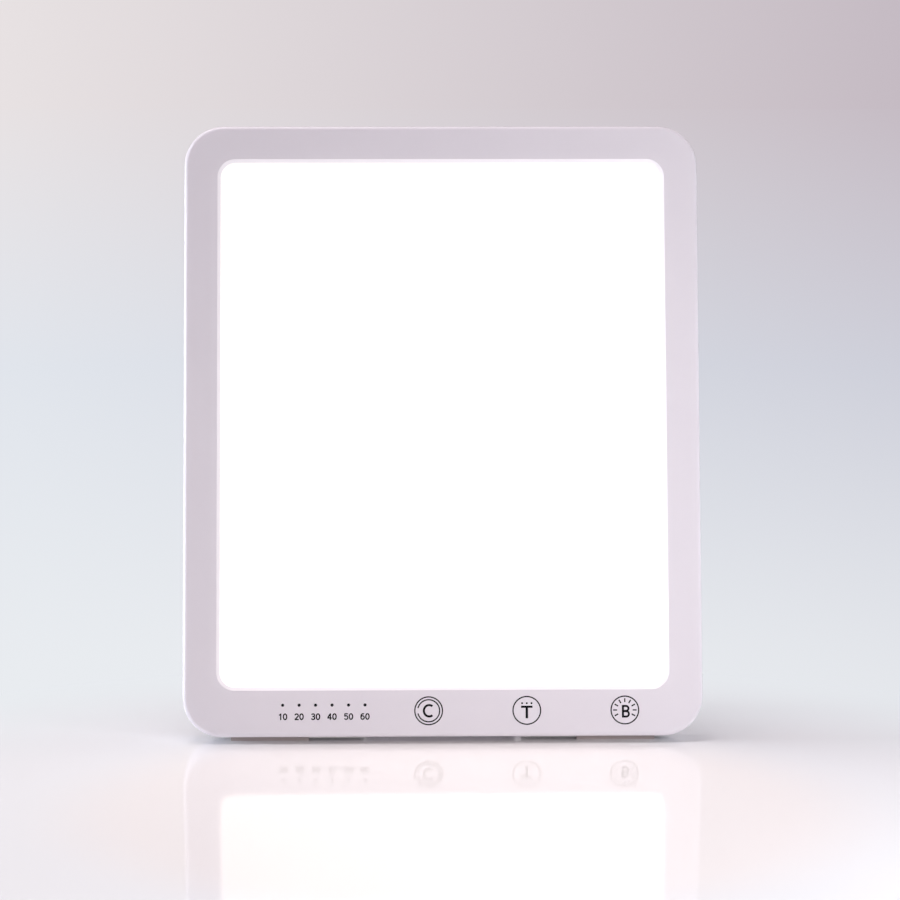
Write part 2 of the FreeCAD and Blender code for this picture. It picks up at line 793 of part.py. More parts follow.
fixed = {
    "front_frame": make_front_frame(),
    "foam_gasket": make_foam_gasket(),
    "diffuser_panel": make_diffuser_panel(),
    "diffuser_film": make_sheet(sheet_w, film_y, guide_y),
    "light_guide": make_sheet(guide_w, guide_y, reflector_y),
    "reflector_sheet": make_sheet(sheet_w, reflector_y, plate_y),
    "heat_spreader": make_heat_spreader(),
    "led_strip_right": make_led_strip(),
    "led_strip_left": mirrored(make_led_strip()),
    "led_chips_right": make_led_chips(),
    "led_chips_left": mirrored(make_led_chips()),
    "led_leads_right": make_led_leads(),
    "led_leads_left": mirrored(make_led_leads()),
    "control_board": make_control_board(),
    "key_pads": make_key_pads(),
    "indicator_light_pipe": make_indicator_pipe(),
    "indicator_leds": make_indicator_leds(),
    "power_inductors": make_inductors(),
    "board_capacitors": make_capacitors(),
    "dimmer_transistors": make_transistors(),
    "microcontroller": make_controller(),
    "strip_connectors": make_strip_connectors(),
    "dc_jack": make_dc_jack(),
    "dc_jack_pin": make_dc_jack_pin(),
    "back_cover": make_back_cover(),
    "cover_screws": make_cover_screws(),
    "plate_screws": make_plate_screws(),
    "board_screws": make_board_screws(),
    "hinge_pin_right": make_hinge_pin(),
    "hinge_pin_left": mirrored(make_hinge_pin()),
    "hinge_washers": make_hinge_washers(),
}
nodes = {name: leaned(shape) for name, shape in fixed.items()}
nodes["bottom_foot_right"] = floor_trimmed(leaned(foot_strip(1, 0)))
nodes["bottom_foot_left"] = floor_trimmed(leaned(foot_strip(-1, 0)))
nodes["stand_leg"] = leaned(swung_open(make_stand_leg()))
nodes["stand_foot"] = floor_trimmed(leaned(swung_open(make_stand_foot())))

# the origin is on the floor, under the middle of the whole object's box
whole = Part.makeCompound(list(nodes.values())).optimalBoundingBox()
shift = V(0, -(whole.YMin + whole.YMax) / 2, 0)

os.makedirs("parts", exist_ok=True)
for name, shape in nodes.items():
    shape.translate(shift)
    if not shape.isValid():
        print("not valid:", name)
    shape.exportStep("parts/" + name + ".step")


def row_point(x, y, z):
    """Where a point of the upright panel lies once the panel leans."""
    point = V(x, y * run + z * rise, floor_lift + z * run - y * rise) + shift
    return [round(value, 4) for value in point]


print("nodes", len(nodes))
print("box", [round(v, 3) for v in (whole.XLength, whole.YLength, whole.ZLength)])
print("hinge axis", row_point(0, hinge_y, hinge_height))
print("inlet mouth", row_point(jack_x, jack_mouth, board_mid_z))
for name in ("bottom_foot_left", "bottom_foot_right", "stand_foot"):
    sole = min(nodes[name].Faces, key=lambda face: face.CenterOfMass.z)
    print(name, "sole centre", [round(v, 4) for v in sole.CenterOfMass], "area", round(sole.Area, 2))
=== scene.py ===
import json
import math

import bmesh
import bpy
from mathutils import Matrix, Vector
from mathutils.geometry import delaunay_2d_cdt


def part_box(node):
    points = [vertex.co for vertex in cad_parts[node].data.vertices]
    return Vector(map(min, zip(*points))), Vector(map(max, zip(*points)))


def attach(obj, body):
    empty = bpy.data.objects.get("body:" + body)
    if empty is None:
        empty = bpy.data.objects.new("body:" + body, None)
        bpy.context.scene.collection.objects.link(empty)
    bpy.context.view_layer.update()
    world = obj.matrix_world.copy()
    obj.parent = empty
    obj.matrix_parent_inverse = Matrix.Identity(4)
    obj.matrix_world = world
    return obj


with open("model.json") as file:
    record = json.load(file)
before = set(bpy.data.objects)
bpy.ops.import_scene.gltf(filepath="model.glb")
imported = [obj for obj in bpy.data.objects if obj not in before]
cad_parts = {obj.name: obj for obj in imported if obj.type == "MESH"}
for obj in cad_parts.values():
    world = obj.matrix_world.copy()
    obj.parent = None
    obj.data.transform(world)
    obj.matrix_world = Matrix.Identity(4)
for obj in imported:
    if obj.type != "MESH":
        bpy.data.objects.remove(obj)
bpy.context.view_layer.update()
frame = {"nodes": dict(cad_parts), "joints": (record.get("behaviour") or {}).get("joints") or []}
scene = bpy.context.scene
scene.view_settings.view_transform = "Standard"
mm = 0.001

# the panel: its lean in degrees, and its hinge behind the face and above the lower edge, in mm
panel = {
    "lean": 12.0,
    "hingeDepth": 14.6,
    "hingeUp": 190.0,
}
hinge = Vector(frame["joints"][0]["pos_m"])
hingeOnPanel = Vector((0, panel["hingeDepth"] * mm, panel["hingeUp"] * mm))
leanBack = Matrix.Rotation(-math.radians(panel["lean"]), 4, "X")
panelPlace = Matrix.Translation(hinge) @ leanBack @ Matrix.Translation(-hingeOnPanel)


def linear(hexColour):
    channels = [int(hexColour[i:i + 2], 16) / 255 for i in (1, 3, 5)]
    bright = [c / 12.92 if c <= 0.04045 else ((c + 0.055) / 1.055) ** 2.4 for c in channels]
    return (*bright, 1.0)


def addNode(tree, kind, inputs=None, **settings):
    node = tree.nodes.new(kind)
    for name, value in settings.items():
        setattr(node, name, value)
    for name, value in (inputs or {}).items():
        if isinstance(value, bpy.types.NodeSocket):
            tree.links.new(value, node.inputs[name])
        else:
            node.inputs[name].default_value = value
    return node


# grain is the pattern's size in mm, depth its height in mm, and stretch draws it out along z; what
# is moulded, printed, ground or plated has too fine a grain to show, so that is drawn coarser
finishes = {
    # ABS, injection moulded in a fine spark-eroded tool: satin, a touch of lavender, soft highlights
    "mouldedAbs": {"colour": "#E9E5EC", "tint": "#E3DFE7", "roughness": 0.38, "ior": 1.54,
                   "grain": 0.45, "depth": 0.006},
    # screen-printed epoxy ink, matted: near black, slightly blue, with hardly any surface gloss
    "printedInk": {"colour": "#040509", "tint": "#0A0C14", "roughness": 0.5, "ior": 1.42,
                   "grain": 0.3, "depth": 0.002, "gloss": 0.15},
    # smoked acrylic, moulded: glossy and almost black, so that an unlit dot looks dark
    "smokedAcrylic": {"colour": "#15161B", "tint": "#1D1F26", "roughness": 0.12, "ior": 1.49,
                      "grain": 1.2, "depth": 0.001},
    # silicone, compression moulded: dull warm grey, a little dusty
    "greySilicone": {"colour": "#BCB0AF", "tint": "#C7BBBA", "roughness": 0.62, "ior": 1.41,
                     "grain": 0.6, "depth": 0.015},
    # closed-cell polyethylene foam, die cut: black with a sheen on each cell wall
    "cellFoam": {"colour": "#101012", "tint": "#2A2A2C", "roughness": 0.85, "ior": 1.5,
                 "grain": 0.5, "depth": 0.08, "pattern": "cells"},
    # carbon-filled foam, punched: charcoal, open pores
    "carbonFoam": {"colour": "#1B1B1E", "tint": "#38383C", "roughness": 0.9, "ior": 1.5,
                   "grain": 0.35, "depth": 0.08, "pattern": "cells"},
    # polyester diffusing film, bead coated: milky with a fine sparkle
    "beadedFilm": {"colour": "#EEF0F2", "tint": "#FBFCFD", "roughness": 0.55, "ior": 1.57,
                   "grain": 0.25, "depth": 0.01, "pattern": "cells"},
    # clear acrylic, cast and laser dotted: glassy and faintly green, with small pale dots
    "dottedAcrylic": {"colour": "#DDECEA", "tint": "#FFFFFF", "roughness": 0.08, "ior": 1.49,
                      "grain": 1.5, "depth": 0.02, "pattern": "cells", "clear": 0.8},
    # white polyester reflector, foamed film: bright white, faintly pearly
    "whiteReflector": {"colour": "#F7F7F7", "tint": "#EFEFF1", "roughness": 0.3, "ior": 1.57,
                       "grain": 0.8, "depth": 0.004},
    # aluminium sheet, rolled: long soft lines along the rolling direction
    "rolledAluminium": {"colour": "#C9CBCE", "tint": "#B4B6BA", "roughness": 0.34, "metallic": 1.0,
                        "grain": 0.5, "depth": 0.004, "stretch": 40},
    # glass-epoxy board, white solder mask: the weave shows through as a soft checker
    "whiteBoard": {"colour": "#EDEDE8", "tint": "#DFDFD8", "roughness": 0.36, "ior": 1.52,
                   "grain": 0.7, "depth": 0.006, "pattern": "weave"},
    # glass-epoxy board, green solder mask: the copper beneath shows as lighter squares
    "greenBoard": {"colour": "#12492B", "tint": "#1F6A3E", "roughness": 0.3, "ior": 1.52,
                   "grain": 1.6, "depth": 0.02, "pattern": "weave"},
    # light-emitting packages: silicone filled with yellow phosphor in a white cup
    "phosphorSilicone": {"colour": "#F2DE7A", "tint": "#F8F3DC", "roughness": 0.4, "ior": 1.41,
                         "grain": 0.5, "depth": 0.01},
    # PVC insulation, extruded over the core: half-glossy red with a slight ripple
    "extrudedPvc": {"colour": "#A81E18", "tint": "#C03028", "roughness": 0.35, "ior": 1.53,
                    "grain": 0.8, "depth": 0.01},
    # ferrite, pressed and fired: dull dark grey, gritty
    "firedFerrite": {"colour": "#2C2C2E", "tint": "#434346", "roughness": 0.75, "ior": 2.0,
                     "grain": 0.25, "depth": 0.02},
    # capacitor can, drawn aluminium: bright, with fine lines from the drawing
    "drawnCan": {"colour": "#BEC1C5", "tint": "#D3D5D8", "roughness": 0.28, "metallic": 1.0,
                 "grain": 0.4, "depth": 0.004, "stretch": 12},
    # epoxy moulding compound, transfer moulded: black, matt, grainy
    "mouldedEpoxy": {"colour": "#161618", "tint": "#26262A", "roughness": 0.55, "ior": 1.55,
                     "grain": 0.2, "depth": 0.008},
    # nylon, injection moulded: ivory, slightly waxy
    "waxyNylon": {"colour": "#E4DFD0", "tint": "#D8D2C0", "roughness": 0.42, "ior": 1.53,
                  "grain": 0.6, "depth": 0.008},
    # polyester housing of the inlet, injection moulded: black, semi-gloss
    "blackPolyester": {"colour": "#121214", "tint": "#1E1E22", "roughness": 0.36, "ior": 1.57,
                       "grain": 0.5, "depth": 0.008},
    # brass contact, nickel plated: warm bright metal
    "platedNickel": {"colour": "#C9C4BA", "tint": "#B4AFA4", "roughness": 0.2, "metallic": 1.0,
                     "grain": 0.6, "depth": 0.002},
    # steel screws, zinc plated and passivated: cool grey, a little blotchy
    "zincSteel": {"colour": "#AEB2B8", "tint": "#8F949C", "roughness": 0.34, "metallic": 1.0,
                  "grain": 0.7, "depth": 0.004},
    # steel pin and washer, ground: bright, with fine lines across the pin
    "groundSteel": {"colour": "#B4B6BA", "tint": "#9A9CA1", "roughness": 0.26, "metallic": 1.0,
                    "grain": 0.3, "depth": 0.003, "stretch": 8},
}

# what each solid is made of; the lit screen and the ABS with painted light on the frame's slope come
# further down
nodeFinish = {
    "front_frame": "absWithPaintedRimLight", "back_cover": "mouldedAbs", "stand_leg": "mouldedAbs",
    "diffuser_panel": "litOpal", "diffuser_film": "beadedFilm", "foam_gasket": "cellFoam",
    "key_pads": "carbonFoam", "light_guide": "dottedAcrylic", "reflector_sheet": "whiteReflector",
    "heat_spreader": "rolledAluminium", "led_strip_right": "whiteBoard",
    "led_strip_left": "whiteBoard", "led_chips_right": "phosphorSilicone",
    "led_chips_left": "phosphorSilicone", "indicator_leds": "phosphorSilicone",
    "led_leads_right": "extrudedPvc", "led_leads_left": "extrudedPvc",
    "control_board": "greenBoard", "indicator_light_pipe": "smokedAcrylic",
    "power_inductors": "firedFerrite", "board_capacitors": "drawnCan",
    "dimmer_transistors": "mouldedEpoxy", "microcontroller": "mouldedEpoxy",
    "strip_connectors": "waxyNylon", "dc_jack": "blackPolyester", "dc_jack_pin": "platedNickel",
    "cover_screws": "zincSteel", "plate_screws": "zincSteel", "board_screws": "zincSteel",
    "hinge_pin_right": "groundSteel", "hinge_pin_left": "groundSteel",
    "hinge_washers": "groundSteel", "bottom_foot_right": "greySilicone",
    "bottom_foot_left": "greySilicone", "stand_foot": "greySilicone",
}


def newMaterial(name):
    material = bpy.data.materials.new(name)
    material.use_nodes = True
    tree = material.node_tree
    tree.nodes.clear()
    shader = addNode(tree, "ShaderNodeBsdfPrincipled")
    addNode(tree, "ShaderNodeOutputMaterial", {"Surface": shader.outputs["BSDF"]})
    return material, tree, shader


def nodeOf(tree, kind):
    return next(node for node in tree.nodes if node.type == kind)


# every finish is uneven: clouds about this many mm across shade it, and change its roughness by up
# to the share in wear
patina = {"cloud": 25.0, "wear": 0.1, "grainDetail": 3.0}


def makeFinish(name, facts):
    material, tree, shader = newMaterial(name)
    where = addNode(tree, "ShaderNodeTexCoord").outputs["Object"]
    if "stretch" in facts:
        squeezed = (1.0, 1.0, 1 / facts["stretch"])
        where = addNode(tree, "ShaderNodeMapping", {"Vector": where, "Scale": squeezed}).outputs[0]
    grain = {"Vector": where, "Scale": 1 / (facts["grain"] * mm)}
    if facts.get("pattern") == "cells":
        height = addNode(tree, "ShaderNodeTexVoronoi", grain).outputs["Distance"]
    elif facts.get("pattern") == "weave":
        height = addNode(tree, "ShaderNodeTexChecker", grain).outputs["Fac"]
    else:
        grain["Detail"] = patina["grainDetail"]
        height = addNode(tree, "ShaderNodeTexNoise", grain).outputs["Fac"]
    cloud = addNode(tree, "ShaderNodeTexNoise", {"Vector": where, "Scale": 1 / (patina["cloud"] * mm)})
    both = addNode(tree, "ShaderNodeMath", {0: height, 1: cloud.outputs["Fac"]}, operation="MULTIPLY")
    shade = addNode(tree, "ShaderNodeMix", {0: both.outputs[0], 6: linear(facts["colour"]),
                                            7: linear(facts["tint"])}, data_type="RGBA")
    worn = addNode(tree, "ShaderNodeMapRange", {
        0: cloud.outputs["Fac"], 3: facts["roughness"] * (1 - patina["wear"]),
        4: facts["roughness"] * (1 + patina["wear"])})
    bump = addNode(tree, "ShaderNodeBump", {"Height": height, "Distance": facts["depth"] * mm})
    tree.links.new(shade.outputs[2], shader.inputs["Base Color"])
    tree.links.new(worn.outputs[0], shader.inputs["Roughness"])
    tree.links.new(bump.outputs[0], shader.inputs["Normal"])
    shader.inputs["Metallic"].default_value = facts.get("metallic", 0.0)
    if "ior" in facts:
        shader.inputs["IOR"].default_value = facts["ior"]
    if "clear" in facts:
        shader.inputs["Transmission Weight"].default_value = facts["clear"]
    if "gloss" in facts:
        shader.inputs["Specular IOR Level"].default_value = facts["gloss"]
    return material


# the lit screen, in mm on the panel's face: half its size, its corners, and its middle's height
screen = {"halfWidth": 102.9, "halfHeight": 122.4, "corner": 6.9, "middleUp": 145.3}

# opal acrylic, extruded and lit from behind: an even white glow, a little weaker along its edges;
# the weaker edge's width and the pearly grain's size and height are in mm
litScreen = {
    "colour": "#FBFBF8", "glow": "#FFEADC", "edgeGlow": "#F4EAE2", "strength": 0.6,
    "roughness": 0.32, "ior": 1.49, "edge": 2.5, "pearl": 0.4, "pearlDepth": 0.003,
}

# painted light: the sloping inner edge and a little of the face beside it glow, adding to the screen's
# light;
# slope and spread are widths in mm, and inner, outer and spill are strengths of the glow
paintedRimLight = {"slope": 1.6, "inner": 0.13, "outer": 0.09, "spread": 5.0, "spill": 0.01, "glow": "#F4FFFA"}


def pastScreen(tree, where):
    # how far a point lies outside the screen's edge, in metres, and less than nothing inside it
    middle = panelPlace @ Vector((0, 0, screen["middleUp"] * mm))
    corner = screen["corner"]
    straight = Vector((screen["halfWidth"] - corner, 0, screen["halfHeight"] - corner)) * mm
    centred = addNode(tree, "ShaderNodeVectorMath", {0: where, 1: middle}, operation="SUBTRACT")
    upright = addNode(tree, "ShaderNodeVectorRotate", {
        "Vector": centred.outputs[0], "Axis": (1, 0, 0), "Angle": math.radians(panel["lean"])})
    folded = addNode(tree, "ShaderNodeVectorMath", {0: upright.outputs[0]}, operation="ABSOLUTE")
    past = addNode(tree, "ShaderNodeVectorMath", {0: folded.outputs[0], 1: straight},
                   operation="SUBTRACT")
    outside = addNode(tree, "ShaderNodeVectorMath", {0: past.outputs[0], 1: (0, 0, 0)},
                      operation="MAXIMUM")
    flat = addNode(tree, "ShaderNodeVectorMath", {0: outside.outputs[0], 1: (1, 0, 1)},
                   operation="MULTIPLY")
    reach = addNode(tree, "ShaderNodeVectorMath", {0: flat.outputs[0]}, operation="LENGTH")
    return addNode(tree, "ShaderNodeMath", {0: reach.outputs["Value"], 1: corner * mm},
                   operation="SUBTRACT").outputs[0]


def paintRimLight(material, facts):
    tree = material.node_tree
    shader = nodeOf(tree, "BSDF_PRINCIPLED")
    past = pastScreen(tree, addNode(tree, "ShaderNodeTexCoord").outputs["Object"])
    # painted light: an emission from inner to outer strength across the slope, and a faint spill fading out
    # across the face
    slope = addNode(tree, "ShaderNodeMapRange", {
        0: past, 1: 0.0, 2: facts["slope"] * mm, 3: facts["inner"], 4: facts["outer"]})
    spill = addNode(tree, "ShaderNodeMapRange", {
        0: past, 1: facts["slope"] * mm, 2: (facts["slope"] + facts["spread"]) * mm,
        3: facts["spill"], 4: 0.0}, interpolation_type="SMOOTHSTEP")
    onSlope = addNode(tree, "ShaderNodeMath", {0: past, 1: facts["slope"] * mm},
                      operation="LESS_THAN")
    glow = addNode(tree, "ShaderNodeMix", {0: onSlope.outputs[0], 2: spill.outputs[0],
                                           3: slope.outputs[0]})
    tree.links.new(glow.outputs[0], shader.inputs["Emission Strength"])
    shader.inputs["Emission Color"].default_value = linear(facts["glow"])


def makeLitOpal(name, facts):
    material, tree, shader = newMaterial(name)
    where = addNode(tree, "ShaderNodeTexCoord").outputs["Object"]
    deep = addNode(tree, "ShaderNodeMapRange", {
        0: pastScreen(tree, where), 1: -facts["edge"] * mm, 2: 0.0, 3: 1.0, 4: 0.0},
        interpolation_type="SMOOTHSTEP")
    glow = addNode(tree, "ShaderNodeMix", {0: deep.outputs[0], 6: linear(facts["edgeGlow"]),
                                           7: linear(facts["glow"])}, data_type="RGBA")
    pearl = addNode(tree, "ShaderNodeTexNoise", {"Vector": where, "Scale": 1 / (facts["pearl"] * mm)})
    bump = addNode(tree, "ShaderNodeBump", {
        "Height": pearl.outputs["Fac"], "Distance": facts["pearlDepth"] * mm})
    tree.links.new(glow.outputs[2], shader.inputs["Emission Color"])
    tree.links.new(bump.outputs[0], shader.inputs["Normal"])
    shader.inputs["Base Color"].default_value = linear(facts["colour"])
    shader.inputs["Emission Strength"].default_value = facts["strength"]
    shader.inputs["Roughness"].default_value = facts["roughness"]
    shader.inputs["IOR"].default_value = facts["ior"]
    return material


materials = {name: makeFinish(name, facts) for name, facts in finishes.items()}
materials["litOpal"] = makeLitOpal("litOpal", litScreen)
# the front frame: moulded ABS with painted light along its sloping inner edge
materials["absWithPaintedRimLight"] = makeFinish("absWithPaintedRimLight", finishes["mouldedAbs"])
paintRimLight(materials["absWithPaintedRimLight"], paintedRimLight)
for node, name in nodeFinish.items():
    for place in frame["nodes"][node].material_slots:
        place.material = materials[name]
print("finishes on", len(nodeFinish), "of", len(frame["nodes"]), "frame pieces")


# the camera: place and reach in metres, how far it looks down and to the right in degrees, and its
# lens and sensor in mm
view = {
    "place": (-0.0248, -1.4004, 0.29675),
    "down": 6.742,
    "turn": 1.176,
    "lens": 120.3,
    "sensor": 36.0,
    "farthest": 200.0,
}


def addCamera(facts):
    data = bpy.data.cameras.new("camera")
    data.lens = facts["lens"]
    data.sensor_width = facts["sensor"]
    data.clip_end = facts["farthest"]
    camera = bpy.data.objects.new("camera", data)
    scene.collection.objects.link(camera)
    down = math.radians(facts["down"])
    turn = math.radians(facts["turn"])
    ahead = Vector((math.sin(turn) * math.cos(down), math.cos(turn) * math.cos(down), -math.sin(down)))
    camera.location = facts["place"]
    camera.rotation_euler = ahead.to_track_quat("-Z", "Y").to_euler()
    scene.camera = camera


addCamera(view)
print("camera placed")


# the printed controls: how thick the ink is in mm, and the straight steps in a ring and in a bend
ink = {"thick": 0.04, "ringSteps": 96, "bendSteps": 20}
# points nearer than this are one: in mm while lines are melted, in metres on a finished piece
meltGap = 1e-4
weldGap = 1e-7


def rowAlong(facts):
    # prints line up with parts inside the lamp: where each stands along x, from the whole row's box
    low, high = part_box(facts["inside"])
    half = facts["insideAcross"] * mm / 2
    first, last = low[0] + half, high[0] - half
    return [first + (last - first) * i / (facts["count"] - 1) for i in range(facts["count"])]


def bend(cx, cy, rx, ry, start, end, steps=ink["bendSteps"]):
    angles = [math.radians(start + (end - start) * i / steps) for i in range(steps + 1)]
    return [(cx + rx * math.cos(a), cy + ry * math.sin(a)) for a in angles]


def lineSides(points, wide):
    # the two edges of a line this wide, square to its way at every point
    sides = []
    for i, (x, y) in enumerate(points):
        before = points[max(i - 1, 0)]
        after = points[min(i + 1, len(points) - 1)]
        way = Vector((after[0] - before[0], after[1] - before[1])).normalized()
        across = Vector((-way.y, way.x)) * wide / 2
        sides.append((Vector((x, y)) + across, Vector((x, y)) - across))
    return sides


def printMesh(lines, place):
    # lines of a given width, melted into one flat print with a little thickness
    corners, steps = [], []
    for points, wide in lines:
        sides = lineSides(points, wide)
        for near, far in zip(sides, sides[1:]):
            base = len(corners)
            corners += [near[0], near[1], far[1], far[0]]
            steps.append([base, base + 1, base + 2, base + 3])
    withinLines = 1
    spots, _, faces, _, _, sources = delaunay_2d_cdt(corners, [], steps, withinLines, meltGap, True)
    shape = bmesh.new()
    verts = [shape.verts.new((spot[0], spot[1], -ink["thick"] / 2)) for spot in spots]
    for face, source in zip(faces, sources):
        if source:
            shape.faces.new([verts[i] for i in face])
    loose = [vert for vert in shape.verts if not vert.link_faces]
    bmesh.ops.delete(shape, geom=loose, context="VERTS")
    raised = bmesh.ops.extrude_face_region(shape, geom=shape.faces[:])["geom"]
    tops = [item for item in raised if isinstance(item, bmesh.types.BMVert)]
    bmesh.ops.translate(shape, vec=(0, 0, ink["thick"]), verts=tops)
    shape.transform(place @ Matrix.Scale(mm, 4))
    mesh = bpy.data.meshes.new("print")
    shape.to_mesh(mesh)
    shape.free()
    return mesh


def moved(lines, shift):
    return [([(x + shift[0], y + shift[1]) for x, y in points], wide) for points, wide in lines]


# the three round keys, in mm: how wide the pad inside is that each lines up with, and how far to its
# side it stands, their height above the panel's lower edge, their rings, each letter's place from its
# ring's middle, and its lines; innerGap is half the break in the inner ring, in degrees
touchKeys = {
    "inside": "key_pads", "insideAcross": 8.8, "count": 3, "shift": -0.2, "up": 11.8,
    "ring": 13.3, "innerRing": 10.7, "innerGap": 14.0, "ringLine": 0.58,
    "placeC": (-0.2, 0.0), "placeT": (0.0, -0.75), "placeB": (0.5, -0.6),
    "letterLine": 1.0, "stemLine": 1.14, "bowLine": 0.92,
}


def letterC():
    return [(bend(0.45, 0, 2.45, 2.6, 52, 308, 2 * ink["bendSteps"]), touchKeys["letterLine"])]


def letterT():
    bar = [(-2.65, 2.4), (2.65, 2.4)]
    stem = [(0, -2.9), (0, 2.5)]
    return [(bar, touchKeys["letterLine"]), (stem, touchKeys["stemLine"])]


def letterB():
    # the bows overlap at the waist, so that no two of their edges lie on one line
    stem = -1.4
    lines = [([(stem, -2.9), (stem, 2.9)], touchKeys["letterLine"])]
    for low, high, reach in ((0.16, 2.45, 1.15), (-2.43, 0.04, 1.35)):
        r = (high - low) / 2
        bow = [(stem, high)] + bend(reach - r, low + r, r, r, 90, -90) + [(stem, low)]
        lines.append((bow, touchKeys["bowLine"]))
    return lines


# the timer's six numbers, in mm: how wide the light inside is that each lines up with, their height
# above the panel's lower edge, the step from one figure to the next, and their lines
timerNumbers = {
    "inside": "indicator_leds", "insideAcross": 1.6, "count": 6, "up": 9.3, "step": 2.25, "line": 0.58,
}


def figure(digit):
    # plain figures about 3 mm high and 2 mm wide, as lines along their middle
    shapes = {
        "0": [bend(0, 0, 0.76, 1.27, 90, 450, 2 * ink["bendSteps"])],
        "1": [[(0.28, -1.5), (0.28, 1.5)], [(0.28, 1.2), (-0.5, 0.66)]],
        "2": [bend(0, 0.55, 0.74, 0.72, 170, -35) + [(-0.72, -1.24)], [(-0.92, -1.27), (0.96, -1.27)]],
        "3": [bend(-0.02, 0.67, 0.66, 0.6, 160, -90) + [(-0.35, 0.07)],
              bend(-0.02, -0.6, 0.76, 0.67, 90, -162)],
        "4": [[(0.36, -1.5), (0.36, 1.5)], [(0.3, 1.3), (-0.84, -0.5)], [(-0.98, -0.6), (0.98, -0.6)]],
        "5": [[(-0.62, 1.27), (0.84, 1.27)], [(-0.5, 1.4), (-0.66, 0.05)],
              bend(-0.02, -0.45, 0.76, 0.82, 146, -155)],
        "6": [bend(0.02, -0.47, 0.74, 0.8, 90, 450, 2 * ink["bendSteps"]),
              bend(0.22, -0.1, 0.94, 1.37, 62, 190)],
    }
    return [(points, timerNumbers["line"]) for points in shapes[digit]]


def printPlace(x, up):
    return panelPlace @ Matrix.Translation((x, 0, up * mm)) @ Matrix.Rotation(math.pi / 2, 4, "X")


def addPrint(name, meshes):
    # one printed piece of several meshes, merged where they meet
    shape = bmesh.new()
    for mesh in meshes:
        shape.from_mesh(mesh)
        bpy.data.meshes.remove(mesh)
    bmesh.ops.remove_doubles(shape, verts=shape.verts, dist=weldGap)
    bmesh.ops.recalc_face_normals(shape, faces=shape.faces)
    data = bpy.data.meshes.new(name)
    shape.to_mesh(data)
    shape.free()
    data.materials.append(materials["printedInk"])
    # faces that a tree has made are on a second slot, which this piece hasn't got
    for face in data.polygons:
        face.material_index = 0
    piece = bpy.data.objects.new(name, data)
    scene.collection.objects.link(piece)
    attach(piece, "lamp")


# short bars set out along an arc, each pointing away from its middle, in degrees and mm
rays = {"count": 9, "first": -30.0, "sweep": 240.0, "inner": 3.6, "outer": 5.4, "wide": 0.6}
# round dots in a row, in mm
dots = {"count": 3, "pitch": 2.17, "across": 0.9, "above": 3.3, "sides": 32}


def treeWith(name, inputs):
    tree = bpy.data.node_groups.new(name, "GeometryNodeTree")
    tree.interface.new_socket("Geometry", in_out="OUTPUT", socket_type="NodeSocketGeometry")
    for label, kind in inputs:
        tree.interface.new_socket(label, in_out="INPUT", socket_type=kind)
    return tree


def endTree(tree, instances):
    real = addNode(tree, "GeometryNodeRealizeInstances", {"Geometry": instances})
    dressed = addNode(tree, "GeometryNodeSetMaterial", {
        "Geometry": real.outputs[0], "Material": materials["printedInk"]})
    addNode(tree, "NodeGroupOutput", {0: dressed.outputs[0]})


def rayTree():
    tree = treeWith("keyRays", (("Count", "NodeSocketInt"), ("Start", "NodeSocketFloat"),
                                ("Sweep", "NodeSocketFloat"), ("Radius", "NodeSocketFloat"),
                                ("Bar", "NodeSocketVector")))
    given = addNode(tree, "NodeGroupInput").outputs
    arc = addNode(tree, "GeometryNodeCurveArc", {
        "Resolution": given["Count"], "Radius": given["Radius"], "Start Angle": given["Start"],
        "Sweep Angle": given["Sweep"]}, mode="RADIUS")
    points = addNode(tree, "GeometryNodeCurveToPoints", {"Curve": arc.outputs["Curve"]}, mode="EVALUATED")
    outward = addNode(tree, "GeometryNodeInputPosition")
    turned = addNode(tree, "FunctionNodeAlignRotationToVector", {"Vector": outward.outputs[0]},
                     axis="X")
    bar = addNode(tree, "GeometryNodeMeshCube", {"Size": given["Bar"]})
    placed = addNode(tree, "GeometryNodeInstanceOnPoints", {
        "Points": points.outputs["Points"], "Instance": bar.outputs["Mesh"],
        "Rotation": turned.outputs[0]})
    endTree(tree, placed.outputs[0])
    return tree


def dotTree():
    tree = treeWith("keyDots", (("Count", "NodeSocketInt"), ("Pitch", "NodeSocketVector"),
                                ("First", "NodeSocketVector"), ("Radius", "NodeSocketFloat"),
                                ("Sides", "NodeSocketInt"), ("Thick", "NodeSocketFloat")))
    given = addNode(tree, "NodeGroupInput").outputs
    row = addNode(tree, "GeometryNodeMeshLine", {
        "Count": given["Count"], "Start Location": given["First"], "Offset": given["Pitch"]})
    dot = addNode(tree, "GeometryNodeMeshCylinder", {
        "Vertices": given["Sides"], "Radius": given["Radius"], "Depth": given["Thick"]})
    placed = addNode(tree, "GeometryNodeInstanceOnPoints", {
        "Points": row.outputs[0], "Instance": dot.outputs["Mesh"]})
    endTree(tree, placed.outputs[0])
    return tree


def treeMesh(tree, values, place):
    # what the tree makes, as a plain mesh, scaled from mm and set in its place
    carrier = bpy.data.objects.new(tree.name, bpy.data.meshes.new(tree.name))
    modifier = carrier.modifiers.new(tree.name, "NODES")
    modifier.node_group = tree
    for item in tree.interface.items_tree:
        if item.item_type == "SOCKET" and item.in_out == "INPUT":
            modifier[item.identifier] = values[item.name]
    scene.collection.objects.link(carrier)
    graph = bpy.context.evaluated_depsgraph_get()
    mesh = bpy.data.meshes.new_from_object(carrier.evaluated_get(graph))
    mesh.transform(place @ Matrix.Scale(mm, 4))
    bpy.data.objects.remove(carrier)
    return mesh


